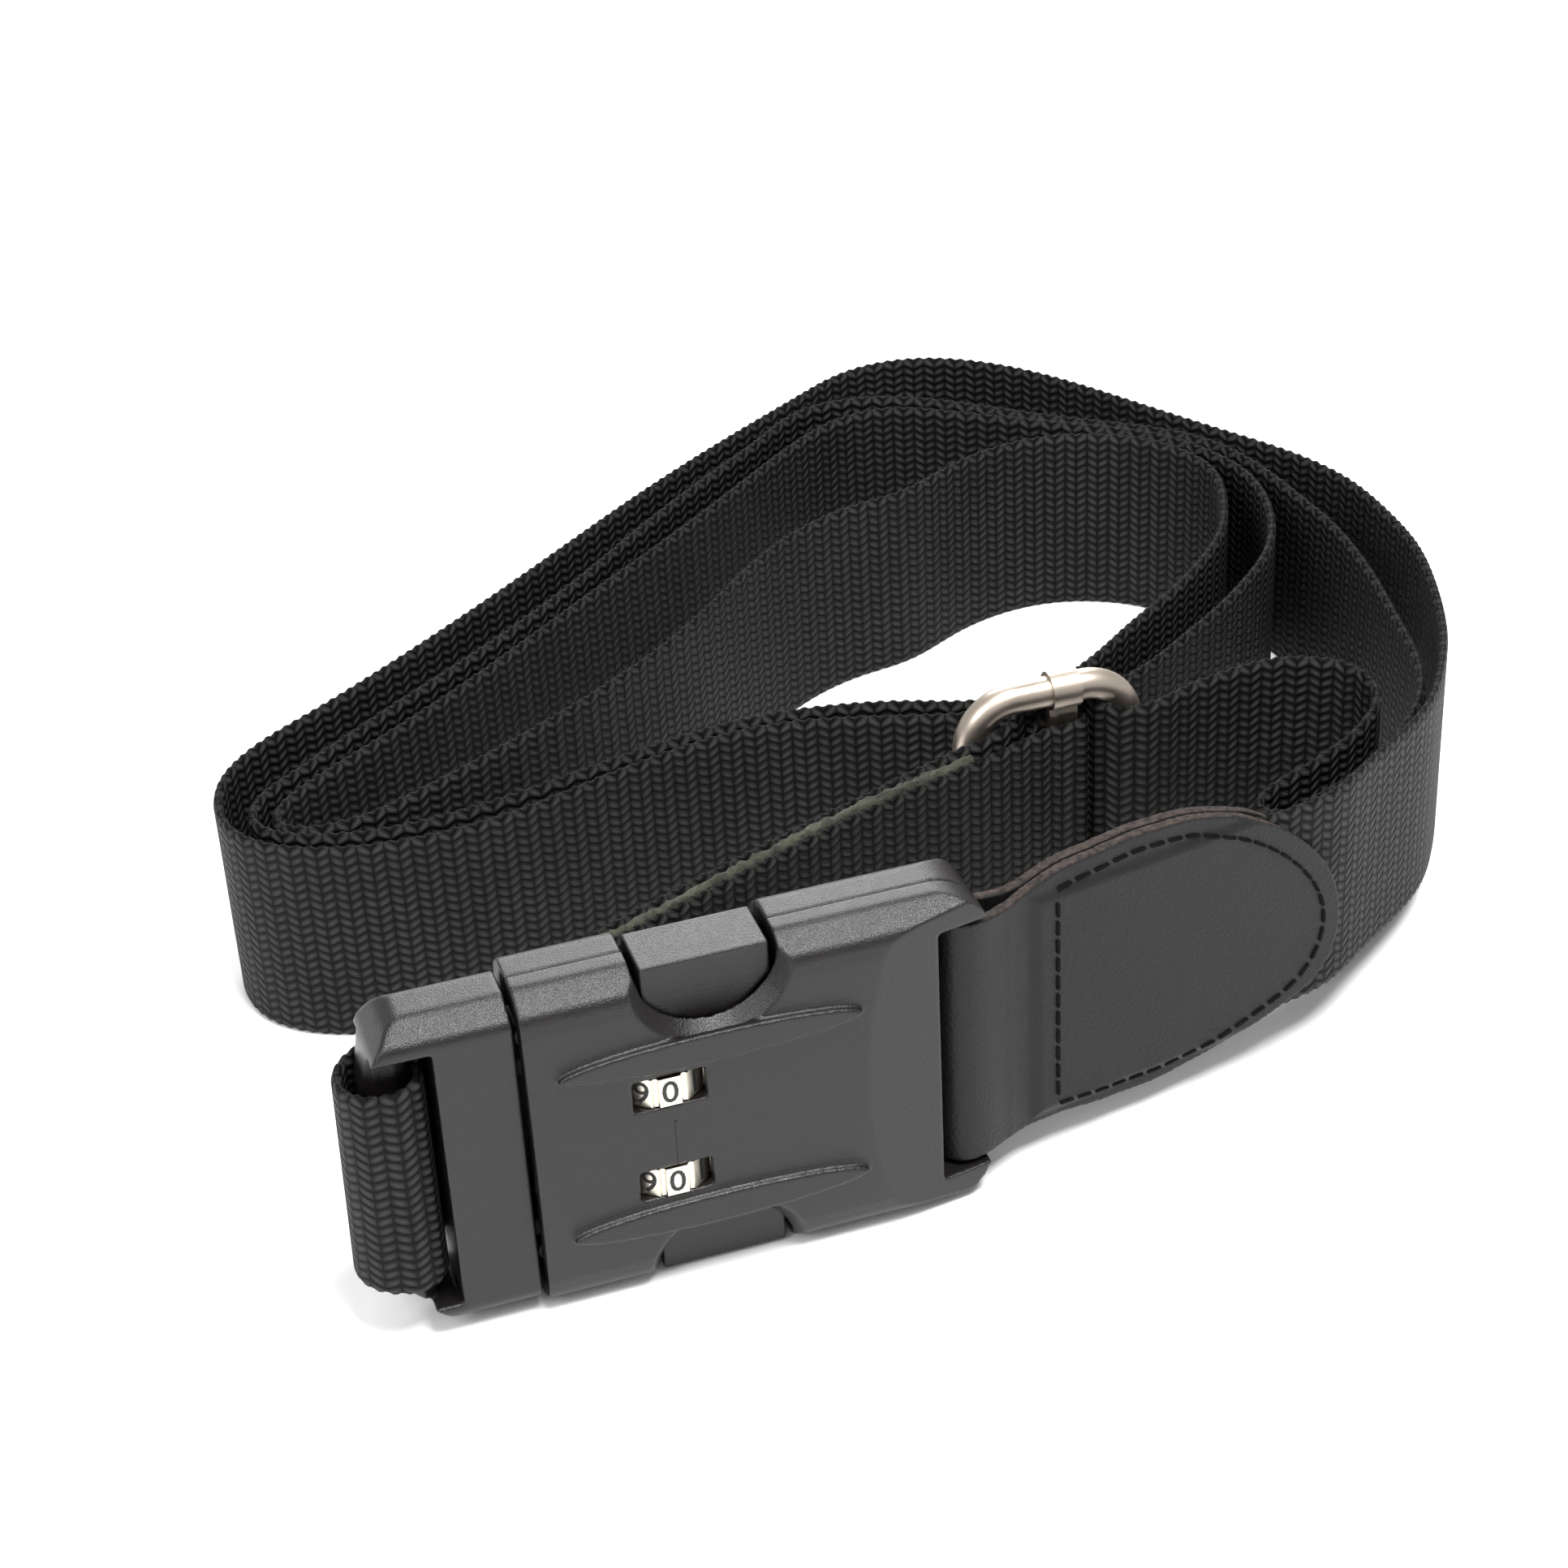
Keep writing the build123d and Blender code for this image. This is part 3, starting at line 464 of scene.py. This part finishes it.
def webbing(name, first, last):
    """One stretch of the strap between two stations of the whole line."""
    rows = np.arange(first, last + 1)
    scallop = 0.5 - 0.5 * np.cos(2 * np.pi * along[rows] / COLUMN)
    v, t = section.T
    edge = np.clip(1 - np.minimum(v, WEB_WIDTH - v) / 1.0, 0, 1)
    sign = np.where(v < WEB_WIDTH / 2, -1, 1)
    z = base[rows][:, None] + v + (scallop[:, None] - 0.75) * SCALLOP * edge * sign
    swell = 1 - 0.25 * edge * (1 - scallop[:, None])
    offset = t * swell
    tilt = lean[rows][:, None] * (v / WEB_WIDTH - 0.5)
    x = centre[rows, 0][:, None] + normal[rows, 0][:, None] * offset + LEAN[0] * tilt
    y = centre[rows, 1][:, None] + normal[rows, 1][:, None] * offset + LEAN[1] * tilt
    points = np.stack([x, y, z], 2).reshape(-1, 3)
    uv = np.stack(np.broadcast_arrays(along[rows][:, None], v[None, :]), 2).reshape(-1, 2)
    return make(name, points, strip_faces(len(rows), len(section)), WEBBING, uv, 60)


coil = webbing("webbing_coil", cuts[0], cuts[1])
feed = webbing("webbing_feed", cuts[1], cuts[2])
pass_right = webbing("webbing_pass_right", cuts[2], cuts[3])
pass_left = webbing("webbing_pass_left", cuts[3], cuts[4])
rear = webbing("webbing_rear", cuts[4], cuts[5])
loop = webbing("webbing_loop", cuts[5], cuts[6])
front = webbing("webbing_front", cuts[6], cuts[7])
fold = webbing("webbing_fold", cuts[7], cuts[8])

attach(coil, "female")
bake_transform(feed)
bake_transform(pass_right)
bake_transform(pass_left)
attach(rear, "male")
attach(loop, "male")
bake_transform(front)
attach(fold, "slider")
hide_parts("webbing_leather_end", "webbing_outer_back", "webbing_outer_front", "webbing_centre_back",
            "webbing_inner_loop", "webbing_inner_front", "webbing_middle_back")
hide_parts("webbing_tail_turn")
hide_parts("webbing_slider_pass")
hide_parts("webbing_rear_layer")
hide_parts("webbing_bar_loop")
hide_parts("webbing_front_layer")
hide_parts("webbing_sewn_fold")

# ---- lining between the layers -------------------------------------------------------------------
LINING_LINE = [(15, 27.4), (30, 33.75), (50, 42.2), (68, 49.4), (80, 53.2), (84.2, 54.5), (90, 56.2)]
LINING_BASE = 7.8
FUZZ_ASIDE, FUZZ_UP = 0.16, 0.32    # how far the felt's top edge strays
line, lining_along, _ = cubic(LINING_LINE, 0.5)
aside = sideways(line)
levels = np.r_[0.3, 1.0, np.linspace(3, 33, 8), 34.6, 35.4, 36.1, 36.6, 36.9]
half = np.interp(levels, [0.3, 1.5, 33, 35.4, 36.4, 36.9], [0.25, 0.38, 0.45, 0.95, 0.9, 0.4])
loop_levels = np.r_[levels, levels[::-1]]
loop_half = np.r_[half, -half[::-1]]
fuzz = np.random.default_rng(4).normal(0, 1, (len(line), len(loop_levels)))
fuzz[1:-1] = (fuzz[:-2] + 2 * fuzz[1:-1] + fuzz[2:]) / 4
near_top = np.clip((loop_levels - 33) / 2, 0, 1)
wide = loop_half + fuzz * FUZZ_ASIDE * near_top
points = np.stack([line[:, :1] + aside[:, :1] * wide, line[:, 1:] + aside[:, 1:] * wide,
                   LINING_BASE + loop_levels + fuzz * FUZZ_UP * near_top], 2).reshape(-1, 3)
lining = make("lining_felt", points, strip_faces(len(line), len(loop_levels)), LINING, sharp=80)
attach(lining, "male")
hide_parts("lining_strip")

# ---- camera, light and floor --------------------------------------------------------------------
CAMERA_PLACE = (-64.2, -356.0, 321.0)
CAMERA_HEADING, CAMERA_TILT, CAMERA_ROLL = (math.radians(a) for a in (16.5, 32.5, -3.26))
FLOOR_REACH, FLOOR_LEVEL = 3000, -0.1
camera = bpy.data.objects.new("camera", bpy.data.cameras.new("camera"))
bpy.context.collection.objects.link(camera)
camera.data.sensor_width = 36
camera.data.lens = 73.0
camera.data.clip_start, camera.data.clip_end = 0.01, 20
aim = (Matrix.Rotation(-CAMERA_HEADING, 4, "Z") @ Matrix.Rotation(math.pi / 2 - CAMERA_TILT, 4, "X")
       @ Matrix.Rotation(CAMERA_ROLL, 4, "Z"))
camera.matrix_world = Matrix.Translation(metres(CAMERA_PLACE)) @ aim
bpy.context.scene.camera = camera

floor_material = Nodes("floor_paper", 0.9, specular=0.1)
floor_corners = [(FLOOR_REACH * x, FLOOR_REACH * y, FLOOR_LEVEL)
                 for x, y in ((-1, -1), (1, -1), (1, 1), (-1, 1))]
floor = make("floor", floor_corners, [(0, 1, 2, 3)], floor_material.done((0.93, 0.93, 0.93, 1)))

world = bpy.data.worlds.new("studio")
bpy.context.scene.world = world
world.use_nodes = True
world.node_tree.nodes["Background"].inputs["Color"].default_value = (1, 1, 1, 1)
world.node_tree.nodes["Background"].inputs["Strength"].default_value = 0.6
for name, where, size, power in (
    ("key", (0.12, -0.38, 1.0), 0.36, 15), ("side", (-0.8, -0.5, 0.8), 0.5, 6),
    ("rim", (0.3, 1.05, 0.7), 0.7, 13),
):
    lamp = bpy.data.objects.new(name, bpy.data.lights.new(name, "AREA"))
    lamp.data.size, lamp.data.energy = size, power
    lamp.location = where
    lamp.rotation_euler = (-Vector(where)).to_track_quat("-Z", "Y").to_euler()
    bpy.context.collection.objects.link(lamp)
bpy.context.scene.view_settings.view_transform = "Standard"
